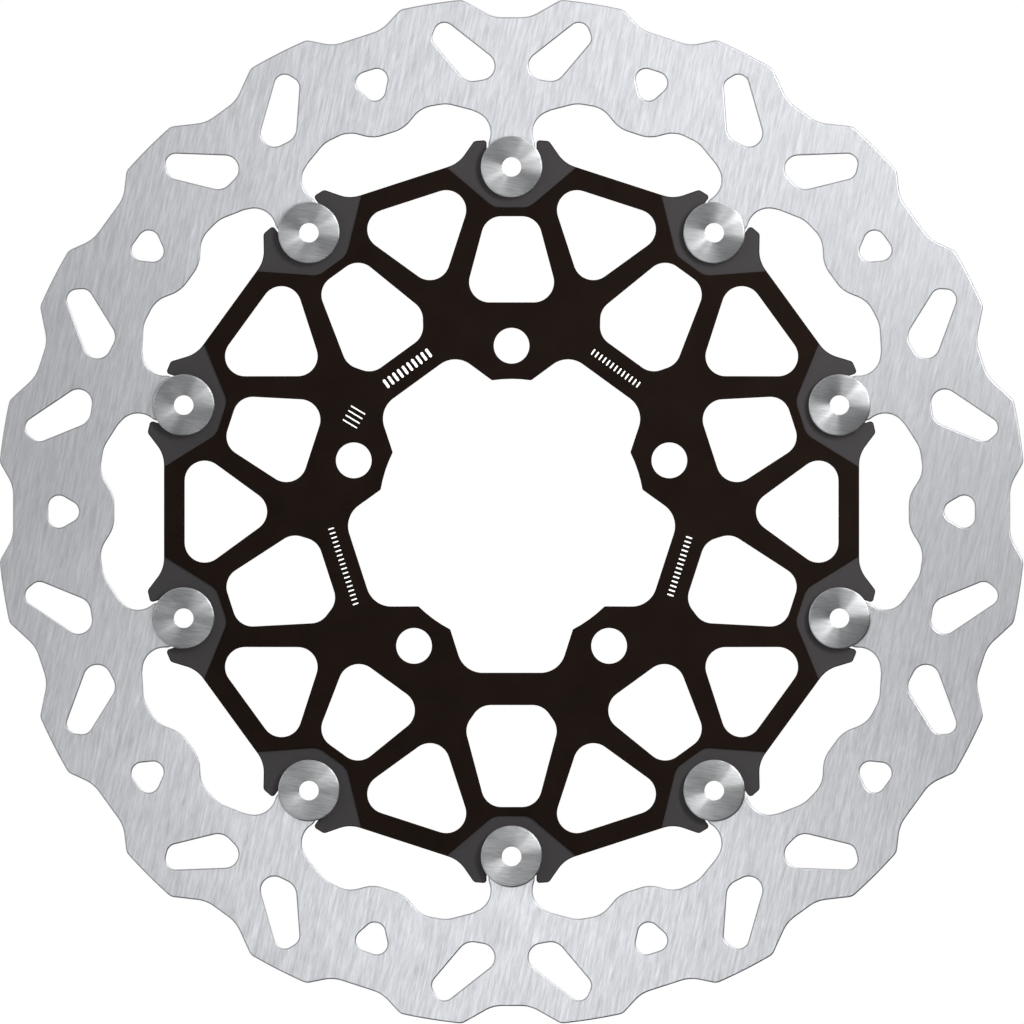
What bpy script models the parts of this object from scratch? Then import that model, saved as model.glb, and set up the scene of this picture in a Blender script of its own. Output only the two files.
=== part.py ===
"""Floating wave brake disc: friction ring, hub carrier, and ten turned bobbins with their washers.

The disc stands upright. Its axis is Y, its outer face looks along -Y, and the origin is at the disc's
centre in the middle of the ring's thickness. Angles are in degrees, clockwise from +Z as seen from -Y.
"""

import math

import bmesh
import bpy

MM = 0.001

# Whole disc
OUTER_DIAMETER = 310.0 * MM
RING_THICKNESS = 5.0 * MM
BOBBINS = 10
BOLTS = 5
FACE_GAP = 0.3 * MM
RUNNING_GAP = 0.3 * MM
ARC_ERROR = 0.12 * MM
TURNING_STEPS = 16

# Friction ring: outer wave
TAB_VALLEY_DEPTH = 6.0 * MM
TAB_VALLEY_HALF = 5.5 * MM
MID_VALLEY_DEPTH = 4.75 * MM
MID_VALLEY_HALF = 7.7 * MM
TOOTH_START = 5.5
TOOTH_END = 12.5
TOOTH_STEPS = 3
TOOTH_FILLET = 3.4 * MM
VALLEY_FILLET = 10.5 * MM

# Friction ring: cooling holes, as (across from the tab's axis, depth from the rim, fillet)
SLOT_CORNERS = [
    (21.6 * MM, 5.8 * MM, 3.1 * MM),
    (24.4 * MM, 12.8 * MM, 3.1 * MM),
    (13.6 * MM, 25.6 * MM, 4.7 * MM),
    (-0.6 * MM, 23.2 * MM, 4.1 * MM),
]
CLEANER_OUTER_DEPTH = 15.4 * MM
CLEANER_HALF = 7.2 * MM
CLEANER_APEX_DEPTH = 27.8 * MM
CLEANER_FILLET = 3.2 * MM

# Friction ring: inner edge, and the tabs that reach down to the bobbins
TAB_REACH = 51.1 * MM
EAR_WALL = 1.65 * MM
TAB_FOOT = 7.4 * MM
TAB_FOOT_FILLET = 3.0 * MM
TAB_EAR_FILLET = 0.4 * MM
NECK_WAIST = 2.25 * MM
NECK_HEIGHT = 13.9 * MM
NECK_FILLET = 6.6 * MM
WINDOW_CORNERS = [
    (11.9 * MM, 17.0 * MM, 2.0 * MM),
    (19.6 * MM, 19.0 * MM, 8.9 * MM),
    (27.3 * MM, 17.7 * MM, 8.5 * MM),
]
INNER_BULGE_DEPTH = 35.3 * MM
INNER_BULGE_HALF = 4.8 * MM
INNER_BULGE_FILLET = 10.0 * MM

# Carrier: lugs round the bobbins, with faces sunk level with the ring
LUG_STEP = 0.5 * MM
TAB_SIDE_GAP = 0.55 * MM
SEAT_DROP = 0.3 * MM
SEAT_FILLET = 0.5 * MM
PRONG_HEIGHT = 8.1 * MM
PRONG_FILLET = 1.0 * MM
PRONG_WIDTH = 3.8 * MM
PRONG_SLOPE = 0.3 * MM
PRONG_OUTER_FILLET = 1.5 * MM
RIM_CORNER_ACROSS = 16.0 * MM
RIM_CORNER_HEIGHT = 1.05 * MM
RIM_CORNER_FILLET = 9.6 * MM
SUNK_MARGIN = 2.9 * MM
SUNK_FLOOR_HALF = 5.3 * MM
SUNK_FLOOR_FILLET = 5.5 * MM
SUNK_SIDE_ANGLE = 40.2

# Carrier: hub
BOLT_CIRCLE_DIAMETER = 100.0 * MM
BOLT_HOLE_DIAMETER = 10.75 * MM
BORE_DIAMETER = 80.0 * MM
BORE_LAND_ANGLE = 8.5
BORE_LAND_FILLET = 0.8 * MM
LOBE_ROOT = 1.45 * MM
LOBE_HALF = 14.3 * MM
LOBE_FILLET = 7.6 * MM

# Carrier: windows between the spokes
LUG_WALL = 2.7 * MM
WINDOW_TOP_HALF = 7.7 * MM
WINDOW_TOP_FILLET = 6.0 * MM
BOLT_WINDOW_WALL = 7.7 * MM
BOLT_WINDOW_FOOT_HALF = 9.85 * MM
BOLT_WINDOW_WIDEST_HALF = 13.3 * MM
BOLT_WINDOW_WIDEST_RISE = 5.0 * MM
LOBE_WINDOW_WALL = 9.75 * MM
LOBE_WINDOW_FOOT_HALF = 9.45 * MM
LOBE_WINDOW_WIDEST_HALF = 14.1 * MM
LOBE_WINDOW_WIDEST_RISE = 6.7 * MM
WINDOW_FOOT_FILLET = 6.1 * MM
RIM_WALL = 6.25 * MM
SIDE_WINDOW_HALF = 21.15 * MM
SIDE_WINDOW_APEX = 19.5 * MM
SIDE_WINDOW_FILLET = 6.0 * MM

# Bobbins and washers
BARREL_DIAMETER = 10.0 * MM
FLANGE_DIAMETER = 18.6 * MM
FLANGE_THICKNESS = 1.6 * MM
FLANGE_BEVEL = 0.25 * MM
BOBBIN_HOLE_DIAMETER = 5.9 * MM
LIP_OVERHANG = 1.2 * MM
LIP_THICKNESS = 0.6 * MM
LIP_BEVEL = 0.3 * MM
WASHER_SIDE_GAP = 0.3 * MM
WAVE_WASHER_WIDTH = 3.0 * MM
WAVE_WASHER_SHEET = 0.4 * MM
WAVE_HEIGHT = 0.3 * MM
WAVES = 3
WAVE_STEPS = 18
BACK_WASHER_WIDTH = 3.3 * MM
BACK_WASHER_SHEET = 0.7 * MM

# Worked out from the sizes above
OUTER_RADIUS = OUTER_DIAMETER / 2
BOBBIN_CIRCLE = OUTER_RADIUS - TAB_REACH
BOLT_CIRCLE = BOLT_CIRCLE_DIAMETER / 2
PITCH = 360.0 / BOBBINS
HALF_PITCH = PITCH / 2
BOLT_PITCH = 360.0 / BOLTS
HALF_RING = RING_THICKNESS / 2
HALF_CARRIER = HALF_RING + LUG_STEP
BARREL_RADIUS = BARREL_DIAMETER / 2
NOTCH_RADIUS = BARREL_RADIUS + RUNNING_GAP
TAB_HALF = NOTCH_RADIUS + EAR_WALL
NECK_HALF = TAB_HALF - NECK_WAIST
SUNK_FLOOR_DROP = FLANGE_DIAMETER / 2 + SUNK_MARGIN
WINDOW_TOP_DROP = SUNK_FLOOR_DROP + LUG_WALL
PRONG_INNER = TAB_HALF + TAB_SIDE_GAP
PRONG_OUTER = PRONG_INNER + PRONG_WIDTH
LOBE_FLAT = BOLT_CIRCLE - LOBE_ROOT
WASHER_BORE = BARREL_RADIUS + WASHER_SIDE_GAP


def at(angle, out, across=0.0):
    """Point (x, z) in the disc's plane: out along the radius at this angle, across square to it."""
    turn = math.radians(angle)
    x = out * math.sin(turn) + across * math.cos(turn)
    z = out * math.cos(turn) - across * math.sin(turn)
    return x, z


def both_sides(corners):
    """Corners (across, out, fillet) of a right half, from top to bottom, with the left half added."""
    return corners + [(-across, out, fillet) for across, out, fillet in reversed(corners)]


def placed(angle, corners):
    """Corners (across, out, fillet) turned to an angle, as (x, z, fillet)."""
    return [(*at(angle, out, across), fillet) for across, out, fillet in corners]


def arc_points(centre, radius, start, sweep):
    """Points along an arc, close enough together that no chord strays by more than ARC_ERROR."""
    widest = 2 * math.acos(1 - min(ARC_ERROR / radius, 0.5))
    steps = max(2, math.ceil(abs(sweep) / widest))
    points = []
    for step in range(steps + 1):
        turn = start + sweep * step / steps
        points.append((centre[0] + radius * math.cos(turn), centre[1] + radius * math.sin(turn)))
    return points


def rounded(corners):
    """Closed outline through corners (x, z, fillet), with each filleted corner turned into an arc."""
    points = []
    for index, (x, z, fillet) in enumerate(corners):
        before = corners[index - 1]
        after = corners[(index + 1) % len(corners)]
        if fillet <= 0:
            points.append((x, z))
            continue
        back = math.atan2(before[1] - z, before[0] - x)
        ahead = math.atan2(after[1] - z, after[0] - x)
        opening = (ahead - back + math.pi) % (2 * math.pi) - math.pi
        half = abs(opening) / 2
        middle = back + opening / 2
        reach = fillet / math.sin(half)
        centre = (x + reach * math.cos(middle), z + reach * math.sin(middle))
        sweep = math.copysign(math.pi - 2 * half, -opening)
        start = middle + math.pi - sweep / 2
        points += arc_points(centre, fillet, start, sweep)
    return points


def circle(centre, radius):
    """Closed outline of a round hole."""
    return arc_points(centre, radius, 0.0, 2 * math.pi)[:-1]


def notch(angle, start, end):
    """Corners of the half-round notch that takes a bobbin's barrel, between two angles round it."""
    sweep = math.radians(end - start)
    points = arc_points((0.0, 0.0), NOTCH_RADIUS, math.radians(start), sweep)
    return placed(angle, [(across, BOBBIN_CIRCLE + up, 0.0) for across, up in points])


def wave_outline():
    """Outer edge: two teeth a pitch, with a valley over each tab and another between tabs."""
    tab_radius = OUTER_RADIUS - TAB_VALLEY_DEPTH
    mid_radius = OUTER_RADIUS - MID_VALLEY_DEPTH
    tab_valley = both_sides([(TAB_VALLEY_HALF, tab_radius, VALLEY_FILLET)])[::-1]
    mid_valley = both_sides([(MID_VALLEY_HALF, mid_radius, VALLEY_FILLET)])[::-1]

    def tooth(first, last):
        corners = []
        for step in range(TOOTH_STEPS + 1):
            angle = first + (last - first) * step / TOOTH_STEPS
            fillet = TOOTH_FILLET if step in (0, TOOTH_STEPS) else 0.0
            corners.append((*at(angle, OUTER_RADIUS), fillet))
        return corners

    corners = []
    for index in range(BOBBINS):
        axis = index * PITCH
        corners += placed(axis, tab_valley)
        corners += tooth(axis + TOOTH_START, axis + TOOTH_END)
        corners += placed(axis + HALF_PITCH, mid_valley)
        corners += tooth(axis + PITCH - TOOTH_END, axis + PITCH - TOOTH_START)
    return rounded(corners)


def ring_inner_outline():
    """Inner edge: a tab with a half-round notch at each bobbin, and a scalloped window between tabs."""
    foot = BOBBIN_CIRCLE + SEAT_DROP
    notch_end = math.degrees(math.asin(SEAT_DROP / NOTCH_RADIUS))
    right = [
        (TAB_HALF, foot, TAB_EAR_FILLET),
        (TAB_HALF, BOBBIN_CIRCLE + TAB_FOOT, TAB_FOOT_FILLET),
        (NECK_HALF, BOBBIN_CIRCLE + NECK_HEIGHT, NECK_FILLET),
    ]
    right += [(across, BOBBIN_CIRCLE + up, fillet) for across, up, fillet in WINDOW_CORNERS]
    left = [(-across, out, fillet) for across, out, fillet in reversed(right)]
    bulge_radius = OUTER_RADIUS - INNER_BULGE_DEPTH
    bulge = both_sides([(INNER_BULGE_HALF, bulge_radius, INNER_BULGE_FILLET)])[::-1]
    corners = []
    for index in range(BOBBINS):
        axis = index * PITCH
        corners += placed(axis, left)
        corners += notch(axis, 180.0 - notch_end, notch_end)
        corners += placed(axis, right)
        corners += placed(axis + HALF_PITCH, bulge)
    return rounded(corners)


def cooling_holes():
    """Two slanted slots at each tab, and one three-cornered hole between tabs."""
    holes = []
    for index in range(BOBBINS):
        axis = index * PITCH
        for side in (1, -1):
            slot = []
            for across, depth, fillet in SLOT_CORNERS:
                slot.append((side * across, OUTER_RADIUS - depth, fillet))
            holes.append(rounded(placed(axis, slot)))
        cleaner = [
            (CLEANER_HALF, OUTER_RADIUS - CLEANER_OUTER_DEPTH, CLEANER_FILLET),
            (0.0, OUTER_RADIUS - CLEANER_APEX_DEPTH, CLEANER_FILLET),
            (-CLEANER_HALF, OUTER_RADIUS - CLEANER_OUTER_DEPTH, CLEANER_FILLET),
        ]
        holes.append(rounded(placed(axis + HALF_PITCH, cleaner)))
    return holes


def carrier_outline():
    """Outer edge: straight rims between lugs, and each lug a pair of prongs with a seat between them."""
    seat = BOBBIN_CIRCLE - SEAT_DROP
    notch_end = math.degrees(math.asin(SEAT_DROP / NOTCH_RADIUS))
    prong = BOBBIN_CIRCLE + PRONG_HEIGHT
    right = [
        (PRONG_INNER, seat, SEAT_FILLET),
        (PRONG_INNER, prong, PRONG_FILLET),
        (PRONG_OUTER, prong - PRONG_SLOPE, PRONG_OUTER_FILLET),
        (RIM_CORNER_ACROSS, BOBBIN_CIRCLE + RIM_CORNER_HEIGHT, RIM_CORNER_FILLET),
    ]
    left = [(-across, out, fillet) for across, out, fillet in reversed(right)]
    corners = []
    for index in range(BOBBINS):
        axis = index * PITCH
        corners += placed(axis, left)
        corners += notch(axis, 180.0 + notch_end, 360.0 - notch_end)
        corners += placed(axis, right)
    return rounded(corners)


def rim_distance():
    """Distance from the disc's centre to the straight rim between two lugs."""
    half = math.radians(HALF_PITCH)
    corner = BOBBIN_CIRCLE + RIM_CORNER_HEIGHT
    return RIM_CORNER_ACROSS * math.sin(half) + corner * math.cos(half)


def bore_outline():
    """Centre bore: a pilot land under each bolt hole, and a flat-bottomed lobe between bolts."""
    bore = BORE_DIAMETER / 2
    lobe = both_sides([(LOBE_HALF, LOBE_FLAT, LOBE_FILLET)])[::-1]
    corners = []
    for index in range(BOLTS):
        axis = index * BOLT_PITCH
        corners.append((*at(axis - BORE_LAND_ANGLE, bore), BORE_LAND_FILLET))
        corners.append((*at(axis, bore), 0.0))
        corners.append((*at(axis + BORE_LAND_ANGLE, bore), BORE_LAND_FILLET))
        corners += placed(axis + BOLT_PITCH / 2, lobe)
    return rounded(corners)


def spoke_window(foot, foot_half, widest_half, widest_rise):
    """Six-cornered window under a lug: narrow at the lug, widest just above its foot."""
    right = [
        (WINDOW_TOP_HALF, BOBBIN_CIRCLE - WINDOW_TOP_DROP, WINDOW_TOP_FILLET),
        (widest_half, foot + widest_rise, WINDOW_FOOT_FILLET),
        (foot_half, foot, WINDOW_FOOT_FILLET),
    ]
    return both_sides(right)


def carrier_holes():
    """Windows, bolt holes and centre bore of the carrier."""
    bolt_window = spoke_window(
        BOLT_CIRCLE + BOLT_HOLE_DIAMETER / 2 + BOLT_WINDOW_WALL,
        BOLT_WINDOW_FOOT_HALF,
        BOLT_WINDOW_WIDEST_HALF,
        BOLT_WINDOW_WIDEST_RISE,
    )
    lobe_window = spoke_window(
        LOBE_FLAT + LOBE_WINDOW_WALL,
        LOBE_WINDOW_FOOT_HALF,
        LOBE_WINDOW_WIDEST_HALF,
        LOBE_WINDOW_WIDEST_RISE,
    )
    side_top = rim_distance() - RIM_WALL
    side_window = [
        (SIDE_WINDOW_HALF, side_top, SIDE_WINDOW_FILLET),
        (0.0, BOLT_CIRCLE + SIDE_WINDOW_APEX, SIDE_WINDOW_FILLET),
        (-SIDE_WINDOW_HALF, side_top, SIDE_WINDOW_FILLET),
    ]
    holes = [bore_outline()]
    for index in range(BOLTS):
        axis = index * BOLT_PITCH
        holes.append(circle(at(axis, BOLT_CIRCLE), BOLT_HOLE_DIAMETER / 2))
        holes.append(rounded(placed(axis, bolt_window)))
        holes.append(rounded(placed(axis + BOLT_PITCH / 2, lobe_window)))
    for index in range(BOBBINS):
        holes.append(rounded(placed(index * PITCH + HALF_PITCH, side_window)))
    return holes


def sunk_outline(angle):
    """Outline of a lug's sunk face: a short floor edge with two sides that spread past the lug."""
    floor = BOBBIN_CIRCLE - SUNK_FLOOR_DROP
    top = BOBBIN_CIRCLE + PRONG_HEIGHT + PRONG_FILLET
    top_half = SUNK_FLOOR_HALF + (top - floor) / math.tan(math.radians(SUNK_SIDE_ANGLE))
    right = [(top_half, top, 0.0), (SUNK_FLOOR_HALF, floor, SUNK_FLOOR_FILLET)]
    return rounded(placed(angle, both_sides(right)))


def material(name, colour, roughness, metallic):
    """Principled material with one colour."""
    finish = bpy.data.materials.new(name)
    finish.use_nodes = True
    shader = finish.node_tree.nodes["Principled BSDF"]
    shader.inputs["Base Color"].default_value = (*colour, 1.0)
    shader.inputs["Roughness"].default_value = roughness
    shader.inputs["Metallic"].default_value = metallic
    return finish


def mesh_of(name, work):
    """Mesh of a finished bmesh, with smooth sides and sharp edges."""
    bmesh.ops.recalc_face_normals(work, faces=work.faces[:])
    mesh = bpy.data.meshes.new(name)
    work.to_mesh(mesh)
    work.free()
    mesh.shade_smooth()
    mesh.set_sharp_from_angle(angle=math.radians(30.0))
    return mesh


def add_plate(work, outlines, low, high):
    """Adds a flat plate between two Y planes: the first outline is its edge and the others are holes."""
    edges = []
    for outline in outlines:
        corners = [work.verts.new((x, low, z)) for x, z in outline]
        for index, corner in enumerate(corners):
            edges.append(work.edges.new((corners[index - 1], corner)))
    filled = bmesh.ops.triangle_fill(work, use_beauty=True, edges=edges)
    faces = [item for item in filled["geom"] if isinstance(item, bmesh.types.BMFace)]
    grown = bmesh.ops.extrude_face_region(work, geom=faces)
    moved = [item for item in grown["geom"] if isinstance(item, bmesh.types.BMVert)]
    bmesh.ops.translate(work, verts=moved, vec=(0.0, high - low, 0.0))


def plate_mesh(name, outlines, half):
    """Mesh of a plate of this half thickness, centred on the disc's middle plane."""
    work = bmesh.new()
    add_plate(work, outlines, -half, half)
    return mesh_of(name, work)


def turned_mesh(name, profile):
    """Mesh of a closed profile of (radius, y) points spun once round the Y axis."""
    work = bmesh.new()
    corners = [work.verts.new((radius, y, 0.0)) for radius, y in profile]
    edges = [work.edges.new((corners[index - 1], corner)) for index, corner in enumerate(corners)]
    bmesh.ops.spin(
        work,
        geom=corners + edges,
        cent=(0.0, 0.0, 0.0),
        axis=(0.0, 1.0, 0.0),
        angle=2 * math.pi,
        steps=TURNING_STEPS,
        use_merge=True,
    )
    return mesh_of(name, work)


def bobbin_levels():
    """Y of the flange's underside and, behind the ring, of each washer's two faces and of the lip."""
    wave_front = HALF_RING + FACE_GAP
    wave_back = wave_front + WAVE_WASHER_SHEET + WAVE_HEIGHT
    back_front = wave_back + FACE_GAP
    back_back = back_front + BACK_WASHER_SHEET
    lip_front = back_back + FACE_GAP
    return wave_front, wave_back, back_front, back_back, lip_front


def bobbin_mesh():
    """Bobbin: flange in front, plain barrel through ring and carrier, and a swaged lip at the back."""
    under = -HALF_RING - FACE_GAP
    face = under - FLANGE_THICKNESS
    lip_front = bobbin_levels()[-1]
    end = lip_front + LIP_THICKNESS
    hole = BOBBIN_HOLE_DIAMETER / 2
    flange = FLANGE_DIAMETER / 2
    lip = BARREL_RADIUS + LIP_OVERHANG
    profile = [
        (hole, face),
        (flange - FLANGE_BEVEL, face),
        (flange, face + FLANGE_BEVEL),
        (flange, under),
        (BARREL_RADIUS, under),
        (BARREL_RADIUS, lip_front),
        (lip, lip_front),
        (lip, end - LIP_BEVEL),
        (lip - LIP_BEVEL, end),
        (hole, end),
    ]
    return turned_mesh("bobbin", profile)


def back_washer_mesh():
    """Flat washer between the wave washer and the bobbin's lip."""
    front, back = bobbin_levels()[2:4]
    outer = WASHER_BORE + BACK_WASHER_WIDTH
    profile = [(WASHER_BORE, front), (outer, front), (outer, back), (WASHER_BORE, back)]
    return turned_mesh("back_washer", profile)


def wave_washer_mesh():
    """Spring washer: a flat ring whose height goes up and down as a sine, WAVES times a turn."""
    front = bobbin_levels()[0]
    outer = WASHER_BORE + WAVE_WASHER_WIDTH
    work = bmesh.new()
    sections = []
    for step in range(WAVE_STEPS):
        turn = 2 * math.pi * step / WAVE_STEPS
        low = front + WAVE_HEIGHT / 2 * (1 + math.cos(WAVES * turn))
        high = low + WAVE_WASHER_SHEET
        corners = [(WASHER_BORE, low), (outer, low), (outer, high), (WASHER_BORE, high)]
        section = []
        for radius, y in corners:
            section.append(work.verts.new((radius * math.cos(turn), y, radius * math.sin(turn))))
        sections.append(section)
    for index, section in enumerate(sections):
        before = sections[index - 1]
        for corner in range(4):
            after = (corner + 1) % 4
            work.faces.new((before[corner], before[after], section[after], section[corner]))
    return mesh_of("wave_washer", work)


def add_object(name, mesh, finish, parent=None):
    """Object for one piece, with its finish, under the empty that carries it."""
    piece = bpy.data.objects.new(name, mesh)
    if not mesh.materials:
        mesh.materials.append(finish)
    piece.parent = parent
    bpy.context.scene.collection.objects.link(piece)
    return piece


def add_empty(name, location=(0.0, 0.0, 0.0)):
    """Empty that marks a moving piece's axis."""
    empty = bpy.data.objects.new(name, None)
    empty.location = location
    empty.empty_display_size = FLANGE_DIAMETER
    bpy.context.scene.collection.objects.link(empty)
    return empty


def add_ring():
    """Friction ring, on the empty that slides along the disc's axis."""
    finish = material("brushed_stainless", (0.62, 0.63, 0.65), 0.35, 1.0)
    outlines = [wave_outline(), ring_inner_outline()] + cooling_holes()
    plate = plate_mesh("friction_ring", outlines, HALF_RING)
    add_object("friction_ring", plate, finish, add_empty("ring_float"))


def add_carrier():
    """Carrier, with each lug's two faces cut down level with the ring."""
    finish = material("black_anodised_aluminium", (0.014, 0.009, 0.007), 0.45, 0.0)
    outlines = [carrier_outline()] + carrier_holes()
    carrier = add_object("carrier", plate_mesh("carrier", outlines, HALF_CARRIER), finish)

    work = bmesh.new()
    for index in range(BOBBINS):
        outline = sunk_outline(index * PITCH)
        add_plate(work, [outline], HALF_RING, HALF_CARRIER + LUG_STEP)
        add_plate(work, [outline], -HALF_CARRIER - LUG_STEP, -HALF_RING)
    cutter = add_object("sunk_face_cutter", mesh_of("sunk_face_cutter", work), finish)
    cutter.hide_render = True
    cutter.display_type = "WIRE"
    cut = carrier.modifiers.new("sunk_faces", "BOOLEAN")
    cut.operation = "DIFFERENCE"
    cut.object = cutter


def add_bobbins():
    """At each tab a bobbin and its two washers, on an empty on the bobbin's own axis."""
    steel = material("satin_steel", (0.45, 0.45, 0.46), 0.3, 1.0)
    spring = material("spring_steel", (0.32, 0.32, 0.34), 0.35, 1.0)
    zinc = material("zinc_plated_steel", (0.55, 0.56, 0.58), 0.4, 1.0)
    bobbin = bobbin_mesh()
    wave_washer = wave_washer_mesh()
    back_washer = back_washer_mesh()
    for index in range(BOBBINS):
        number = f"{index + 1:02d}"
        x, z = at(index * PITCH, BOBBIN_CIRCLE)
        axis = add_empty(f"bobbin_axis_{number}", (x, 0.0, z))
        add_object(f"bobbin_{number}", bobbin, steel, axis)
        add_object(f"wave_washer_{number}", wave_washer, spring, axis)
        add_object(f"back_washer_{number}", back_washer, zinc, axis)


def main():
    for old in list(bpy.data.objects):
        bpy.data.objects.remove(old, do_unlink=True)
    add_ring()
    add_carrier()
    add_bobbins()


main()
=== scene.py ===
"""Looks of a floating wave brake disc, laid out as a Blender add-on and run as a script.

The disc stands upright. Its axis is Y and its outer face looks along -Y. Angles are in degrees,
clockwise from +Z as seen from -Y. Sizes are in metres, and outline tables are in millimetres.
"""

import math

import bmesh
import bpy
import numpy as np
from bpy.props import FloatProperty, FloatVectorProperty, IntProperty, PointerProperty
from bpy.types import Operator, Panel, PropertyGroup
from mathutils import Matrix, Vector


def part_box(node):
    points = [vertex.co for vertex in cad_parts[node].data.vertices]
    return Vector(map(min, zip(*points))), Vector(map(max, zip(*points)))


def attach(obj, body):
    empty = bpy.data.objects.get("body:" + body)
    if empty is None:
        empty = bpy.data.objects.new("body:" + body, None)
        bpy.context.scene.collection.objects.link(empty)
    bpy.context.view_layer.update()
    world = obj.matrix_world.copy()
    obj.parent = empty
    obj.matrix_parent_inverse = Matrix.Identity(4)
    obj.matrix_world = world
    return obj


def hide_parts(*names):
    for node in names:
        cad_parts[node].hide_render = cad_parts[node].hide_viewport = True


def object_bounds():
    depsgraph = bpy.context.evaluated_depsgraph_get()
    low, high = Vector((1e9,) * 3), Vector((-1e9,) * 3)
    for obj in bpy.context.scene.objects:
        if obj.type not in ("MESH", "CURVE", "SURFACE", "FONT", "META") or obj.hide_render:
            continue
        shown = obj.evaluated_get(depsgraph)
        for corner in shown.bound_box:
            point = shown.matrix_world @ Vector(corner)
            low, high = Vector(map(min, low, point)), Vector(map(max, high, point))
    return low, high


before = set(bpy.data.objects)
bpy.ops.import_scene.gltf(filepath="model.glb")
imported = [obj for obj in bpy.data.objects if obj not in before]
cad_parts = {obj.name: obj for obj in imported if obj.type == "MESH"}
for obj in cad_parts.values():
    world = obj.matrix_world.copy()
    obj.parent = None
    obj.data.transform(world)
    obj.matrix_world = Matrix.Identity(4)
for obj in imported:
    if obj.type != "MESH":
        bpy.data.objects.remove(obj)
CAD_LOW, CAD_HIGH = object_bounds()

bl_info = {
    "name": "Floating Brake Disc",
    "version": (1, 0, 0),
    "blender": (4, 5, 0),
    "location": "View3D > Sidebar > Brake Disc",
    "description": "Builds the fine surfaces, finishes and stage of a floating wave brake disc",
    "category": "Add Mesh",
}

MM = 0.001
COUNT = 10
BOLTS = 5
PITCH = 360.0 / COUNT
BOLT_PITCH = 360.0 / BOLTS
FILLET_STEPS = 14
ROUND_STEPS = 3
NOTCH_STEPS = 40
HOLE_STEPS = 72
TURN_STEPS = 120
WELD = 1e-6
TINY = 1e-12
LEAST_SWEEP = 1e-6
FLAT = 0.999
SHARP = math.radians(35.0)

# Outline corners in millimetres, as (across the axis, how far out, fillet). How far out is measured
# down from the rim (DEPTH), up from a bobbin's centre (RISE), or from the disc's centre (OUT).
TAB_VALLEY_DEPTH = [(5.5, 6.0, 10.5)]
MID_VALLEY_DEPTH = [(7.7, 4.75, 10.5)]
SLOT_DEPTH = [(21.6, 5.8, 3.1), (24.4, 12.8, 3.1), (13.6, 25.6, 4.7), (-0.6, 23.2, 4.1)]
CLEANER_DEPTH = [(7.2, 15.4, 3.2), (0.0, 27.8, 3.2), (-7.2, 15.4, 3.2)]
INNER_BULGE_DEPTH = [(4.8, 35.3, 10.0)]
TAB_RISE = [
    (6.95, 0.3, 0.4),
    (6.95, 7.4, 3.0),
    (4.7, 13.9, 6.6),
    (11.9, 17.0, 2.0),
    (19.6, 19.0, 8.9),
    (27.3, 17.7, 8.5),
]
LUG_RISE = [(7.5, -0.3, 0.5), (7.5, 8.1, 1.0), (11.3, 7.8, 1.5), (16.0, 1.05, 9.6)]
SUNK_FLOOR_RISE = (5.3, -12.2, 5.5)
BOLT_WINDOW_OUT = [(7.7, 89.0, 6.0), (13.3, 68.075, 6.1), (9.85, 63.075, 6.1)]
LOBE_WINDOW_OUT = [(7.7, 89.0, 6.0), (14.1, 65.0, 6.1), (9.45, 58.3, 6.1)]
LOBE_OUT = [(14.3, 48.55, 7.6)]
SIDE_WINDOW_HALF = 21.15
SIDE_WINDOW_APEX = 69.5
SIDE_WINDOW_FILLET = 6.0
RIM_WALL = 6.25
BORE_LAND_FILLET = 0.8

TOOTH_ANGLES = (5.5, 12.5)
TOOTH_STEPS = 8
TOOTH_FILLET = 3.4
SUNK_SIDE_ANGLE = 40.2
BORE_LAND_ANGLE = 8.5

# Directions of straight tool lines, and their widths and lengths in millimetres
BRUSH_ANGLE = 12.0
HEAD_BRUSH_ANGLE = 98.0
MILL_ANGLE = 35.0
FINE_LINE = (0.3, 4.0)
BROAD_LINE = (0.9, 12.0)
MILL_LINE = (0.25, 5.0)
ROLLED_LINE = (0.2, 3.0)


def linear(code):
    """Linear colour of an sRGB hex code, by the sRGB transfer curve."""
    values = [int(code[place : place + 2], 16) / 255 for place in (1, 3, 5)]
    return [value / 12.92 if value <= 0.04045 else ((value + 0.055) / 1.055) ** 2.4 for value in values]


def length(name, description, millimetres):
    """Length property with its default in millimetres."""
    return FloatProperty(
        name=name, description=description, default=millimetres * MM, min=0.0, unit="LENGTH", precision=5
    )


def colour(name, description, code):
    """Colour property with its default as an sRGB hex code."""
    return FloatVectorProperty(
        name=name, description=description, default=linear(code), subtype="COLOR", min=0.0, max=1.0
    )


def half_thickness(name):
    """Half of a CAD node's thickness along the disc's axis, in millimetres."""
    low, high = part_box(name)
    return (high.y - low.y) / 2 / MM


class DiscSizes(PropertyGroup):
    outer_radius: length("Outer radius", "Radius over the friction ring's teeth", 155.0)
    bobbin_circle: length("Bobbin circle", "Radius of the circle through the bobbins", 103.9)
    ring_half: length(
        "Ring half thickness", "Half of the ring's thickness", half_thickness("friction_ring")
    )
    ring_round: length("Ring edge", "Radius that breaks the ring's edges", 0.36)
    carrier_half: length(
        "Carrier half thickness", "Half of the carrier's thickness", half_thickness("carrier")
    )
    carrier_round: length("Carrier edge", "Radius that breaks the carrier's edges", 0.25)
    bore_radius: length("Bore radius", "Radius of the lands that sit on the hub's pilot", 40.0)
    bolt_circle: length("Bolt circle", "Radius of the circle through the bolt holes", 50.0)
    bolt_hole: length("Bolt hole", "Radius of a bolt hole", 5.375)


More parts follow.
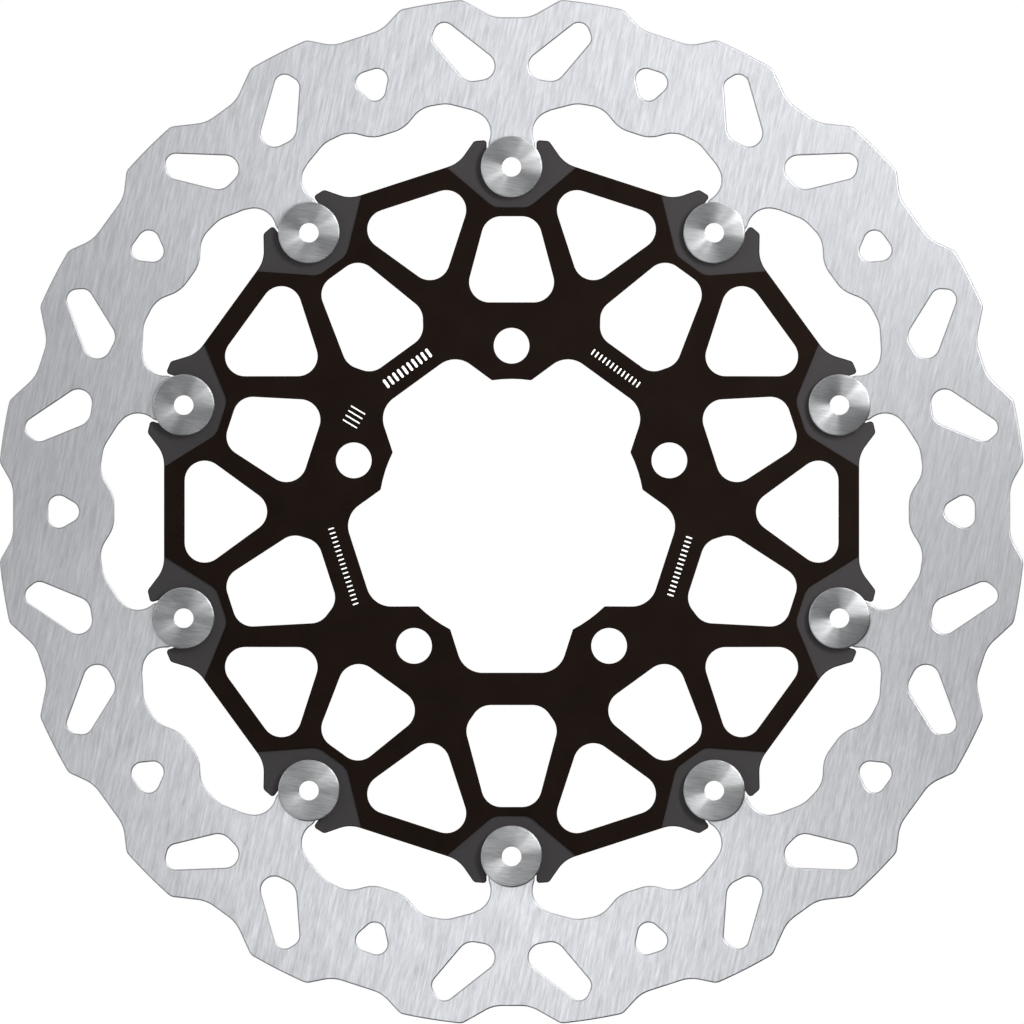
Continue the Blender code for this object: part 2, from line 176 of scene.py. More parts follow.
class BobbinSizes(PropertyGroup):
    barrel: length("Barrel", "Radius of the bobbin's barrel", 5.0)
    head: length("Head", "Radius of the bobbin's head", 9.3)
    head_thickness: length("Head thickness", "Thickness of the bobbin's head", 1.6)
    hole: length("Hole", "Radius of the hole through the bobbin", 2.95)
    head_round: length("Head edge", "Radius of the head's rounded edge", 0.45)
    hole_round: length("Hole edge", "Radius that breaks the hole's edges", 0.15)
    face_gap: length("Face gap", "Gap between neighbouring faces", 0.3)
    lip: length("Lip overhang", "How far the swaged lip stands out from the barrel", 1.2)
    lip_thickness: length("Lip thickness", "Thickness of the swaged lip", 0.6)
    washer_gap: length("Washer gap", "Gap between the barrel and a washer's bore", 0.3)
    wave_width: length("Wave washer width", "Width of the wave washer's band", 3.0)
    wave_sheet: length("Wave washer sheet", "Thickness of the wave washer's band", 0.4)
    wave_height: length("Wave height", "Height of the wave washer's waves", 0.3)
    waves: IntProperty(name="Waves", description="Waves round the wave washer", default=3, min=2)
    back_width: length("Back washer width", "Width of the back washer's band", 3.3)
    back_sheet: length("Back washer sheet", "Thickness of the back washer", 0.7)
    washer_round: length("Washer edge", "Radius that breaks the washers' edges", 0.12)


class DiscColours(PropertyGroup):
    steel: colour("Steel", "Ground stainless steel of the friction ring", "#D6D8DC")
    cut_edge: colour("Cut edge", "Laser cut edges of the friction ring", "#949496")
    carrier: colour("Carrier", "Black anodised aluminium of the carrier", "#150E0A")
    lug: colour("Lug face", "Dark grey of the carrier's sunk lug faces", "#333132")
    head: colour("Bobbin", "Turned steel of the bobbins", "#A1A2A3")
    spring: colour("Spring", "Spring steel of the wave washers", "#8E8F92")
    zinc: colour("Zinc", "Zinc plating of the back washers", "#B9BCC0")
    mark: colour("Laser mark", "Pale marks burnt into the anodising", "#F2F2F0")
    floor: colour("Floor", "Pale matt floor", "#EDEDEB")


# Outlines


def unit(vectors):
    """Each row divided by its length."""
    return vectors / np.maximum(np.linalg.norm(vectors, axis=1, keepdims=True), TINY)


def placed(angle, corners, base=0.0, sign=1.0):
    """Corners (across, out, fillet) in millimetres, turned to an angle, as (x, z, fillet) in metres.

    How far out becomes base + sign * out. Then x = out sin + across cos, and z = out cos - across sin.
    """
    turn = math.radians(angle)
    across, out, fillet = np.array(corners, float).T
    out = base / MM + sign * out
    x = out * math.sin(turn) + across * math.cos(turn)
    z = out * math.cos(turn) - across * math.sin(turn)
    return np.column_stack((x, z, fillet)) * MM


def from_left(right):
    """A right half's corners made whole: the mirrored left half in reverse, then the right half."""
    return [(-across, out, fillet) for across, out, fillet in reversed(right)] + list(right)


def from_right(right):
    """A right half's corners made whole: the right half, then the mirrored left half in reverse."""
    return list(right) + [(-across, out, fillet) for across, out, fillet in reversed(right)]


def rounded(corners, steps=FILLET_STEPS):
    """Closed outline through corners (x, z, fillet), each filleted corner an arc tangent to both sides.

    The arc's centre lies on the corner's bisector at fillet / sin(half the opening). Its points turn
    evenly from one tangent point to the other, as weights sin((1 - t) a) and sin(t a) over sin(a).
    """
    corners = np.concatenate(corners)
    here = corners[:, :2]
    fillet = corners[:, 2]
    back = unit(np.roll(here, 1, axis=0) - here)
    ahead = unit(np.roll(here, -1, axis=0) - here)
    half = np.arccos(np.clip((back * ahead).sum(axis=1), -1.0, 1.0)) / 2
    half = np.where(fillet > 0, half, math.pi / 2)
    centre = here + unit(back + ahead) * (fillet / np.sin(half))[:, None]
    first = here + back * (fillet / np.tan(half))[:, None] - centre
    last = here + ahead * (fillet / np.tan(half))[:, None] - centre
    sweep = np.maximum(math.pi - 2 * half, LEAST_SWEEP)
    count = np.where(fillet > 0, steps, 1)
    index = np.repeat(np.arange(len(corners)), count)
    place = np.arange(len(index)) - (np.cumsum(count) - count)[index]
    share = place / np.maximum(count[index] - 1, 1)
    turn = sweep[index]
    early = (np.sin((1 - share) * turn) / np.sin(turn))[:, None]
    late = (np.sin(share * turn) / np.sin(turn))[:, None]
    return centre[index] + first[index] * early + last[index] * late


def inset(path, distance):
    """Closed outline moved sideways to its left, each point along the mean of its two sides' normals.

    The move is distance / (1 + n1 . n2) times n1 + n2, which keeps every side parallel to itself.
    """
    side = unit(np.roll(path, -1, axis=0) - path)
    after = np.column_stack((-side[:, 1], side[:, 0]))
    before = np.roll(after, 1, axis=0)
    scale = distance / (1 + (before * after).sum(axis=1))
    return path + (before + after) * scale[:, None]


def solid_on_left(path, hole=False):
    """The outline, run so that the material lies to its left: anticlockwise, or clockwise for a hole."""
    ahead = np.roll(path, -1, axis=0)
    area = (path[:, 0] * ahead[:, 1] - ahead[:, 0] * path[:, 1]).sum()
    return path[::-1] if (area < 0) != hole else path


def wave_outline(sizes):
    """Outer edge of the ring: a valley over each tab, a tooth, a valley between tabs, and a tooth."""
    rim = sizes.outer_radius

    def tooth(first, last):
        turn = np.radians(np.linspace(first, last, TOOTH_STEPS + 1))
        fillet = np.zeros(len(turn))
        fillet[[0, -1]] = TOOTH_FILLET * MM
        return np.column_stack((rim * np.sin(turn), rim * np.cos(turn), fillet))

    start, end = TOOTH_ANGLES
    corners = []
    for index in range(COUNT):
        axis = index * PITCH
        corners += [
            placed(axis, from_left(TAB_VALLEY_DEPTH), rim, -1.0),
            tooth(axis + start, axis + end),
            placed(axis + PITCH / 2, from_left(MID_VALLEY_DEPTH), rim, -1.0),
            tooth(axis + PITCH - end, axis + PITCH - start),
        ]
    return solid_on_left(rounded(corners))


def notch(bobbin, drop, lower):
    """Corners (across, rise, 0) of the half round notch round a barrel, cut off at the seat line.

    It runs from left to right, over the barrel for the ring's tab and under it for the carrier's lug.
    """
    radius = (bobbin.barrel + bobbin.face_gap) / MM
    end = math.asin(drop / radius)
    turn = np.linspace(math.pi - end, end, NOTCH_STEPS)
    rise = radius * np.sin(turn) * (-1 if lower else 1)
    return np.column_stack((radius * np.cos(turn), rise, np.zeros(NOTCH_STEPS)))


def ring_inner_outline(sizes, bobbin):
    """Inner edge of the ring: a tab with its notch at each bobbin, and a bulge between tabs."""
    left = [(-across, rise, fillet) for across, rise, fillet in reversed(TAB_RISE)]
    bite = notch(bobbin, TAB_RISE[0][1], False)
    corners = []
    for index in range(COUNT):
        axis = index * PITCH
        corners += [
            placed(axis, left, sizes.bobbin_circle),
            placed(axis, bite, sizes.bobbin_circle),
            placed(axis, TAB_RISE, sizes.bobbin_circle),
            placed(axis + PITCH / 2, from_left(INNER_BULGE_DEPTH), sizes.outer_radius, -1.0),
        ]
    return solid_on_left(rounded(corners), hole=True)


def cooling_holes(sizes):
    """Two slanted slots at each tab, and one three-cornered hole between tabs."""
    holes = []
    for index in range(COUNT):
        axis = index * PITCH
        mirrored = [(-across, depth, fillet) for across, depth, fillet in SLOT_DEPTH]
        for angle, corners in ((axis, SLOT_DEPTH), (axis, mirrored), (axis + PITCH / 2, CLEANER_DEPTH)):
            outline = rounded([placed(angle, corners, sizes.outer_radius, -1.0)])
            holes.append(solid_on_left(outline, hole=True))
    return holes


def sunk_crossing():
    """Where a sunk face's slanted side meets the straight rim, as (across, rise) in millimetres.

    Both are straight lines through a known point: the floor's corner and the rim's corner.
    """
    side = math.tan(math.radians(SUNK_SIDE_ANGLE))
    rim = -math.tan(math.radians(PITCH / 2))
    floor_across, floor_rise = SUNK_FLOOR_RISE[:2]
    rim_across, rim_rise = LUG_RISE[-1][:2]
    across = (rim_rise - floor_rise + side * floor_across - rim * rim_across) / (side - rim)
    return across, floor_rise + side * (across - floor_across)


def carrier_outlines(sizes, bobbin):
    """The carrier's whole edge, and the edge of its full thickness, which runs round each sunk face.

    Both have the same number of points at every lug, from one crossing to the other.
    """
    crossing = [(*sunk_crossing(), 0.0)]
    whole = LUG_RISE + crossing
    left = [(-across, rise, fillet) for across, rise, fillet in reversed(whole)]
    bite = notch(bobbin, -LUG_RISE[0][1], True)
    edge = []
    full = []
    for index in range(COUNT):
        axis = index * PITCH
        edge += [placed(axis, corners, sizes.bobbin_circle) for corners in (left, bite, whole)]
        full.append(placed(axis, from_left([SUNK_FLOOR_RISE] + crossing), sizes.bobbin_circle))
    return rounded(edge), rounded(full)


def bore_outline(sizes):
    """Centre bore: a pilot land under each bolt hole, and a flat-bottomed lobe between bolts."""
    bore = sizes.bore_radius / MM
    corners = []
    for index in range(BOLTS):
        axis = index * BOLT_PITCH
        for turn in (-BORE_LAND_ANGLE, -BORE_LAND_ANGLE / 2, 0.0, BORE_LAND_ANGLE / 2, BORE_LAND_ANGLE):
            fillet = BORE_LAND_FILLET if abs(turn) == BORE_LAND_ANGLE else 0.0
            corners.append(placed(axis + turn, [(0.0, bore, fillet)]))
        corners.append(placed(axis + BOLT_PITCH / 2, from_left(LOBE_OUT)))
    return rounded(corners)


def round_hole(centre, radius):
    """Closed circle of points round a centre (x, z)."""
    turn = np.linspace(0.0, 2 * math.pi, HOLE_STEPS, endpoint=False)
    return np.column_stack((centre[0] + radius * np.cos(turn), centre[1] + radius * np.sin(turn)))


def carrier_holes(sizes):
    """Bore, bolt holes, the windows under the lugs, and the three-cornered windows between them."""
    half = math.radians(PITCH / 2)
    rim_across, rim_rise = LUG_RISE[-1][:2]
    rim = rim_across * math.sin(half) + (sizes.bobbin_circle / MM + rim_rise) * math.cos(half)
    side_window = [
        (SIDE_WINDOW_HALF, rim - RIM_WALL, SIDE_WINDOW_FILLET),
        (0.0, SIDE_WINDOW_APEX, SIDE_WINDOW_FILLET),
        (-SIDE_WINDOW_HALF, rim - RIM_WALL, SIDE_WINDOW_FILLET),
    ]
    holes = [bore_outline(sizes)]
    for index in range(BOLTS):
        axis = index * BOLT_PITCH
        x, z, _ = placed(axis, [(0.0, sizes.bolt_circle / MM, 0.0)])[0]
        holes.append(round_hole((x, z), sizes.bolt_hole))
        holes.append(rounded([placed(axis, from_right(BOLT_WINDOW_OUT))]))
        holes.append(rounded([placed(axis + BOLT_PITCH / 2, from_right(LOBE_WINDOW_OUT))]))
    for index in range(COUNT):
        holes.append(rounded([placed((index + 0.5) * PITCH, side_window)]))
    return [solid_on_left(hole, hole=True) for hole in holes]


# Surfaces


def quarter_round(radius, level, inwards):
    """Rows (inset, y) of a rounded edge, from the flat face at this level down to the wall.

    Along a quarter turn a, inset = radius (1 - sin a), and y moves inwards by radius (1 - cos a).
    """
    turn = np.linspace(0.0, math.pi / 2, ROUND_STEPS + 1)
    return np.column_stack((radius * (1 - np.sin(turn)), level + inwards * radius * (1 - np.cos(turn))))


def plate_rows(radius, half):
    """Rows (inset, y) of a plate's whole edge: rounded in front, straight, and rounded behind."""
    return np.concatenate((quarter_round(radius, -half, 1.0), quarter_round(radius, half, -1.0)[::-1]))


def carried(path, rows):
    """Grid of points: the profile's rows (inset, y) carried round a closed outline."""
    grid = np.empty((len(rows), len(path), 3))
    for index, (distance, level) in enumerate(rows):
        grid[index][:, [0, 2]] = inset(path, distance)
        grid[index][:, 1] = level
    return grid


def grid_faces(rows, columns, closed_rows=False, closed_columns=True):
    """Corner numbers of a grid's quads, row by row."""
    row = np.arange(rows if closed_rows else rows - 1)[:, None]
    column = np.arange(columns if closed_columns else columns - 1)[None, :]
    below = (row + 1) % rows
    beside = (column + 1) % columns
    row, below = row * columns, below * columns
    quads = (row + column, row + beside, below + beside, below + column)
    return np.stack(np.broadcast_arrays(*quads), axis=-1).reshape(-1, 4)


def joined(grids):
    """Points and quads of several grids (points, closed columns) as one mesh."""
    points = []
    faces = []
    start = 0
    for grid, closed in grids:
        faces.append(grid_faces(*grid.shape[:2], closed_columns=closed) + start)
        points.append(grid.reshape(-1, 3))
        start += len(points[-1])
    return np.concatenate(points), np.concatenate(faces)


def face_levels(mesh):
    """Each face's middle height along Y, and how much its normal points along Y."""
    centres = np.empty(len(mesh.polygons) * 3)
    normals = np.empty(len(mesh.polygons) * 3)
    mesh.polygons.foreach_get("center", centres)
    mesh.polygons.foreach_get("normal", normals)
    return centres.reshape(-1, 3)[:, 1], np.abs(normals.reshape(-1, 3)[:, 1])


def capped_mesh(name, grids, levels, fans=()):
    """Mesh of welded grids, with the open edges at each level filled by a flat face.

    Fans are extra flat polygons. Faces square to Y are shaded flat, and the others smooth.
    """
    points, faces = joined(grids)
    polygons = faces.tolist()
    for fan in fans:
        polygons.append(list(range(len(points), len(points) + len(fan))))
        points = np.concatenate((points, fan))
    mesh = bpy.data.meshes.new(name)
    mesh.from_pydata(points.tolist(), [], polygons)
    work = bmesh.new()
    work.from_mesh(mesh)
    bmesh.ops.remove_doubles(work, verts=work.verts[:], dist=WELD)
    bmesh.ops.dissolve_degenerate(work, edges=work.edges[:], dist=WELD)
    for level in levels:
        edges = []
        for edge in work.edges:
            if edge.is_boundary and all(abs(corner.co.y - level) < WELD for corner in edge.verts):
                edges.append(edge)
        bmesh.ops.triangle_fill(work, use_beauty=True, edges=edges)
    bmesh.ops.recalc_face_normals(work, faces=work.faces[:])
    work.to_mesh(mesh)
    work.free()
    mesh.set_sharp_from_angle(angle=SHARP)
    mesh.polygons.foreach_set("use_smooth", face_levels(mesh)[1] < FLAT)
    return mesh


def brushed_map(mesh, angle):
    """UV map whose U runs square to straight brush lines at this angle, and whose V runs along them."""
    turn = math.radians(angle)
    corners = np.empty(len(mesh.loops), int)
    mesh.loops.foreach_get("vertex_index", corners)
    points = np.empty(len(mesh.vertices) * 3)
    mesh.vertices.foreach_get("co", points)
    points = points.reshape(-1, 3)[corners]
    along = points[:, 0] * math.sin(turn) + points[:, 2] * math.cos(turn)
    across = points[:, 0] * math.cos(turn) - points[:, 2] * math.sin(turn)
    layer = mesh.uv_layers.new(name="brush")
    layer.data.foreach_set("uv", np.column_stack((across, along)).ravel())


def turned_mesh(name, profile, centre, wave=None):
    """Closed profile of (radius, y) points turned once round an axis along Y through a centre (x, z).

    Points are (x + r cos a, y + wave(a), z + r sin a). The UV map's U runs along the profile,
    square to the turning lines, and its V runs round the axis.
    """
    profile = np.asarray(profile)
    turn = np.linspace(0.0, 2 * math.pi, TURN_STEPS, endpoint=False)
    radius, level = profile[:, :1], profile[:, 1:]
    rise = np.zeros_like(turn) if wave is None else wave(turn)
    grid = np.empty((len(profile), TURN_STEPS, 3))
    grid[..., 0] = centre[0] + radius * np.cos(turn)
    grid[..., 1] = level + rise
    grid[..., 2] = centre[1] + radius * np.sin(turn)
    faces = grid_faces(len(profile), TURN_STEPS, closed_rows=True)
    mesh = bpy.data.meshes.new(name)
    mesh.from_pydata(grid.reshape(-1, 3).tolist(), [], faces[:, ::-1].tolist())
    row, column = np.divmod(np.arange(len(faces)), TURN_STEPS)
    around = np.stack((column, column + 1, column + 1, column), axis=1)[:, ::-1] / TURN_STEPS
    along = np.stack((row, row, row + 1, row + 1), axis=1)[:, ::-1] / len(profile)
    layer = mesh.uv_layers.new(name="turning")
    layer.data.foreach_set("uv", np.stack((along, around), axis=-1).ravel())
    mesh.shade_smooth()
    mesh.set_sharp_from_angle(angle=SHARP)
    return mesh


def corner_arc(centre, radius, start, end):
    """Points of a rounded profile corner round its centre (radius, y), between two angles in degrees."""
    turn = np.radians(np.linspace(start, end, ROUND_STEPS + 2))
    return np.column_stack((centre[0] + radius * np.cos(turn), centre[1] + radius * np.sin(turn)))


def rounded_band(inner, outer, front, back, radius):
    """Profile of a flat band with all four corners rounded, going round it once."""
    return np.concatenate(
        (
            corner_arc((inner + radius, front + radius), radius, 180, 270),
            corner_arc((outer - radius, front + radius), radius, 270, 360),
            corner_arc((outer - radius, back - radius), radius, 0, 90),
            corner_arc((inner + radius, back - radius), radius, 90, 180),
        )
    )


def ring_mesh(sizes, bobbin):
    """The friction ring: every outline's rounded edge and wall, closed by two flat faces."""
    outlines = [wave_outline(sizes), ring_inner_outline(sizes, bobbin)] + cooling_holes(sizes)
    rows = plate_rows(sizes.ring_round, sizes.ring_half)
    grids = [(carried(outline, rows), True) for outline in outlines]
    mesh = capped_mesh("friction_ring_ground", grids, (-sizes.ring_half, sizes.ring_half))
    mesh.polygons.foreach_set("material_index", np.where(face_levels(mesh)[1] > FLAT, 0, 1))
    brushed_map(mesh, BRUSH_ANGLE)
    return mesh


def carrier_mesh(sizes, bobbin):
    """The carrier, with each lug's two faces sunk level with the ring.

    The full thickness has its own edge, which runs along the rim and then round each sunk face. It
    goes down to the sunk level. Below that level the wall follows the whole edge, and along each lug
    it has a rounded edge of its own. Where the two meet, a small flat fan closes the round's end.
    """
    sunk, half, radius = sizes.ring_half, sizes.carrier_half, sizes.carrier_round
    edge, full = carrier_outlines(sizes, bobbin)
    if solid_on_left(edge) is not edge:
        edge, full = edge[::-1], full[::-1]
    grids = [(carried(hole, plate_rows(radius, half)), True) for hole in carrier_holes(sizes)]
    grids.append((carried(edge, [(0.0, radius - sunk), (0.0, sunk - radius)]), True))
    fans = []
    for side in (-1.0, 1.0):
        top = np.concatenate((quarter_round(radius, side * half, -side), [(0.0, side * sunk)]))
        grids.append((carried(full, top), True))
        lug = carried(edge, quarter_round(radius, side * sunk, -side))
        lugs = lug.reshape(ROUND_STEPS + 1, COUNT, -1, 3)
        corner = carried(edge, [(0.0, side * sunk)]).reshape(COUNT, -1, 3)
        rim = carried(edge, [(0.0, side * sunk), (0.0, side * (sunk - radius))])
        rim = rim.reshape(2, COUNT, -1, 3)
        for index in range(COUNT):
            grids.append((lugs[:, index], False))
            after = (index + 1) % COUNT
            grids.append((np.stack((rim[:, index, -1], rim[:, after, 0]), axis=1), False))
            for end in (0, -1):
                fans.append(np.concatenate((corner[index, [end]], lugs[::-1, index, end])))
    mesh = capped_mesh("carrier_anodised", grids, (-half, half, -sunk, sunk), fans)
    levels, facing = face_levels(mesh)
    lug_face = (np.abs(np.abs(levels) - sunk) < WELD) & (facing > FLAT)
    mesh.polygons.foreach_set("material_index", np.where(lug_face, 1, 0))
    return mesh


def stack_levels(sizes, bobbin):
    """Y of the head's two faces, and behind the ring of both washers' faces and the lip's two faces."""
    under = -sizes.ring_half - bobbin.face_gap
    wave_front = sizes.ring_half + bobbin.face_gap
    wave_back = wave_front + bobbin.wave_sheet + bobbin.wave_height
    back_front = wave_back + bobbin.face_gap
    back_back = back_front + bobbin.back_sheet
    lip_front = back_back + bobbin.face_gap
    return {
        "head": (under - bobbin.head_thickness, under),
        "wave": (wave_front, wave_back),
        "back": (back_front, back_back),
        "lip": (lip_front, lip_front + bobbin.lip_thickness),
    }


def bobbin_profile(sizes, bobbin):
    """Profile (radius, y) of a bobbin: head in front, barrel and a swaged lip, with every edge broken."""
    levels = stack_levels(sizes, bobbin)
    face, under = levels["head"]
    lip_front, end = levels["lip"]
    lip = bobbin.barrel + bobbin.lip
    small, large = bobbin.hole_round, bobbin.head_round
    return np.concatenate(
        (
            corner_arc((bobbin.hole + small, face + small), small, 180, 270),
            corner_arc((bobbin.head - large, face + large), large, 270, 360),
            corner_arc((bobbin.head - small, under - small), small, 0, 90),
            [(bobbin.barrel, under), (bobbin.barrel, lip_front)],
            corner_arc((lip - small, lip_front + small), small, 270, 360),
            corner_arc((lip - 2 * small, end - 2 * small), 2 * small, 0, 90),
            corner_arc((bobbin.hole + small, end - small), small, 90, 180),
        )
    )


# Generic marks: rows of short upright bars beside the bore, as (angle, radius, bars, pitch, height,
# width), in degrees and millimetres
MARK_ROWS = [
    (-36.0, 53.4, 10, 1.75, 3.0, 0.85),
    (36.0, 53.4, 13, 1.4, 2.0, 0.45),
    (108.0, 53.3, 14, 1.4, 2.0, 0.45),
    (252.0, 53.3, 18, 1.4, 1.8, 0.4),
    (-59.0, 55.4, 4, 1.6, 5.0, 0.4),
]
MARK_PROUD = 0.02
MARK_DEPTH = 0.05
MARK_STEPS = 5
MARK_FILLET_SHARE = 0.98


def mark_mesh(name, sizes, row):
    """A row of upright bars with round ends, spread along the tangent at one angle.

    Each bar is a plate whose front stands a hair proud of the carrier and whose back lies inside it.
    """
    angle, radius, count, pitch, height, width = row
    front = -sizes.carrier_half - MARK_PROUD * MM
    back = -sizes.carrier_half + MARK_DEPTH * MM
    grids = []
    for index in range(count):
        middle = (index - (count - 1) / 2) * pitch
        half, tall = width / 2, height / 2
        box = [(-half, tall), (half, tall), (half, -tall), (-half, -tall)]
        corners = [(middle + across, radius + out, half * MARK_FILLET_SHARE) for across, out in box]
        outline = solid_on_left(rounded([placed(angle, corners)], MARK_STEPS))
        grids.append((carried(outline, [(0.0, front), (0.0, back)]), True))
    return capped_mesh(name, grids, (front, back))


# Finishes


def feed(tree, target, inputs):
    """Sets a node's inputs. Each is a value, a socket, or another node, whose first output feeds it."""
    for name, value in inputs.items():
        if isinstance(value, bpy.types.Node):
            value = value.outputs[0]
        if isinstance(value, bpy.types.NodeSocket):
            tree.links.new(value, target.inputs[name])
        else:
            target.inputs[name].default_value = value


def node(tree, kind, inputs, **settings):
    """Adds a node with its inputs and its own settings."""
    made = tree.nodes.new(kind)
    for name, value in settings.items():
        setattr(made, name, value)
    feed(tree, made, inputs)
    return made


def finish(name, base, metallic, roughness, **constants):
    """New Principled material with its constants set on the shader, as (material, tree, shader)."""
    material = bpy.data.materials.new(name)
    material.use_nodes = True
    tree = material.node_tree
    shader = tree.nodes["Principled BSDF"]
    feed(tree, shader, {"Base Color": (*base, 1.0), "Metallic": metallic, "Roughness": roughness})
    feed(tree, shader, {socket.replace("_", " "): value for socket, value in constants.items()})
    return material, tree, shader


def grain(tree, size, detail=2.0):
    """Even noise with spots of about this size in metres."""
    place = tree.nodes.new("ShaderNodeTexCoord").outputs["Object"]
    return node(tree, "ShaderNodeTexNoise", {"Vector": place, "Scale": 1.0 / size, "Detail": detail})


def streaks(tree, angle, line, detail=3.0):
    """Noise drawn out along straight lines at an angle in the disc's plane, (width, length) in mm."""
    width, along = line[0] * MM, line[1] * MM
    place = tree.nodes.new("ShaderNodeTexCoord").outputs["Object"]
    turn = (0.0, math.radians(angle), 0.0)
    layout = {"Vector": place, "Rotation": turn, "Scale": (width, width, along)}
    turned = node(tree, "ShaderNodeMapping", layout, vector_type="TEXTURE")
    pattern = {"Vector": turned, "Scale": 1.0, "Detail": detail, "Roughness": 0.6}
    return node(tree, "ShaderNodeTexNoise", pattern)


def ranged(pattern, low, high):
    """Inputs of a Map Range node that stretches a noise pattern's middle to run from low to high."""
    return {"Value": pattern, "From Min": 0.3, "From Max": 0.7, "To Min": low, "To Max": high}


def varied(tree, base, pattern, low, high):
    """The base colour times a factor that follows a pattern from low to high."""
    factor = node(tree, "ShaderNodeMapRange", ranged(pattern, low, high))
    return node(tree, "ShaderNodeVectorMath", {"Vector": tuple(base), "Scale": factor}, operation="SCALE")


def ground_steel(colours):
    """Ground stainless steel: straight fine lines, a fraction of a millimetre wide, catch the light.

    The real lines are about 0.1 mm wide. They are drawn at 0.3 mm, and so show at the disc's size.
    """
    material, tree, shader = finish("ground_stainless_steel", colours.steel, 1.0, 0.36, Anisotropic=0.6)
    fine = streaks(tree, BRUSH_ANGLE, FINE_LINE)
    broad = streaks(tree, BRUSH_ANGLE, BROAD_LINE)
    both = node(tree, "ShaderNodeMath", {0: fine, 1: broad}, operation="ADD")
    lines = node(tree, "ShaderNodeMath", {0: both, 1: 0.5}, operation="MULTIPLY")
    height = {"Height": lines, "Distance": 0.003 * MM, "Strength": 1.0}
    inputs = {
        "Base Color": varied(tree, colours.steel, lines, 0.72, 1.22),
        "Roughness": node(tree, "ShaderNodeMapRange", ranged(lines, 0.38, 0.34)),
        "Normal": node(tree, "ShaderNodeBump", height),
        "Tangent": node(tree, "ShaderNodeTangent", {}, direction_type="UV_MAP", uv_map="brush"),
    }
    feed(tree, shader, inputs)
    return material


def cut_steel(colours):
    """Laser cut stainless steel: a duller, darker wall with fine ridges across the thickness."""
    material, tree, shader = finish("laser_cut_stainless_steel", colours.cut_edge, 1.0, 0.42)
    ridges = grain(tree, 0.4 * MM)
    feed(tree, shader, {"Base Color": varied(tree, colours.cut_edge, ridges, 0.8, 1.15)})
    return material


def black_anodised(colours):
    """Black anodised aluminium: a deep warm black with a faint satin sheen from the blasted surface."""
    material, tree, shader = finish(
        "black_anodised_aluminium", colours.carrier, 0.0, 0.5, Specular_IOR_Level=0.02
    )
    blasted = grain(tree, 0.25 * MM)
    cloudy = grain(tree, 9.0 * MM)
    height = {"Height": blasted, "Distance": 0.006 * MM, "Strength": 1.0}
    inputs = {
        "Base Color": varied(tree, colours.carrier, cloudy, 0.88, 1.12),
        "Roughness": node(tree, "ShaderNodeMapRange", ranged(blasted, 0.46, 0.56)),
        "Normal": node(tree, "ShaderNodeBump", height),
    }
    feed(tree, shader, inputs)
    return material


def milled_anodised(colours):
    """Anodised aluminium milled after blasting: a flatter, lighter grey on the sunk lug faces."""
    material, tree, shader = finish(
        "milled_anodised_aluminium", colours.lug, 0.0, 0.5, Specular_IOR_Level=0.06
    )
    lines = streaks(tree, MILL_ANGLE, MILL_LINE)
    feed(tree, shader, {"Base Color": varied(tree, colours.lug, lines, 0.94, 1.06)})
    return material


def turned_steel(colours):
    """Turned and brushed steel: a bow-tie sheen round the axis, crossed by fine straight lines."""
    material, tree, shader = finish("turned_steel", colours.head, 1.0, 0.38, Anisotropic=0.92)
    fine = streaks(tree, HEAD_BRUSH_ANGLE, FINE_LINE)
    inputs = {
        "Base Color": varied(tree, colours.head, fine, 0.8, 1.15),
        "Roughness": node(tree, "ShaderNodeMapRange", ranged(fine, 0.42, 0.34)),
        "Tangent": node(tree, "ShaderNodeTangent", {}, direction_type="UV_MAP", uv_map="turning"),
    }
    feed(tree, shader, inputs)
    return material


def spring_steel(colours):
    """Hardened spring steel strip: smooth and dark, with a faint rolled grain."""
    material, tree, shader = finish("spring_steel", colours.spring, 1.0, 0.3)
    rolled = streaks(tree, 0.0, ROLLED_LINE)
    feed(tree, shader, {"Base Color": varied(tree, colours.spring, rolled, 0.9, 1.08)})
    return material


def zinc_plate(colours):
    """Zinc plated steel: pale and softly mottled, from the plating's fine crystals."""
    material, tree, shader = finish("zinc_plated_steel", colours.zinc, 1.0, 0.38)
    crystals = grain(tree, 0.5 * MM, 4.0)
    inputs = {
        "Base Color": varied(tree, colours.zinc, crystals, 0.86, 1.08),
        "Roughness": node(tree, "ShaderNodeMapRange", ranged(crystals, 0.32, 0.46)),
    }
    feed(tree, shader, inputs)
    return material


def laser_mark(colours):
    """Laser marked anodising: the dye is burnt out, which leaves a chalky, matt, pale line."""
    material, tree, shader = finish("laser_marked_anodising", colours.mark, 0.0, 0.7)
    speckle = grain(tree, 0.1 * MM)
    feed(tree, shader, {"Base Color": varied(tree, colours.mark, speckle, 0.9, 1.05)})
    return material


def matt_floor(colours):
    """Matt painted board: pale, with a very faint mottle."""
    material, tree, shader = finish("matt_painted_board", colours.floor, 0.0, 0.9, Specular_IOR_Level=0.1)
    mottle = grain(tree, 60.0 * MM)
    feed(tree, shader, {"Base Color": varied(tree, colours.floor, mottle, 0.985, 1.0)})
    return material


# Pieces


def add_piece(mesh, materials, nodes, body):
    """Object for one finished mesh, which stands for these CAD nodes and rides on a body."""
    for material in materials:
        mesh.materials.append(material)
    piece = bpy.data.objects.new(mesh.name, mesh)
    bpy.context.scene.collection.objects.link(piece)
    if nodes:
        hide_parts(*nodes)
    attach(piece, body)


def bobbin_centres(sizes):
    """Number and centre (x, z) of each bobbin, clockwise from the top."""
    for index in range(COUNT):
        x, z, _ = placed(index * PITCH, [(0.0, sizes.bobbin_circle / MM, 0.0)])[0]
        yield f"{index + 1:02d}", (x, z)


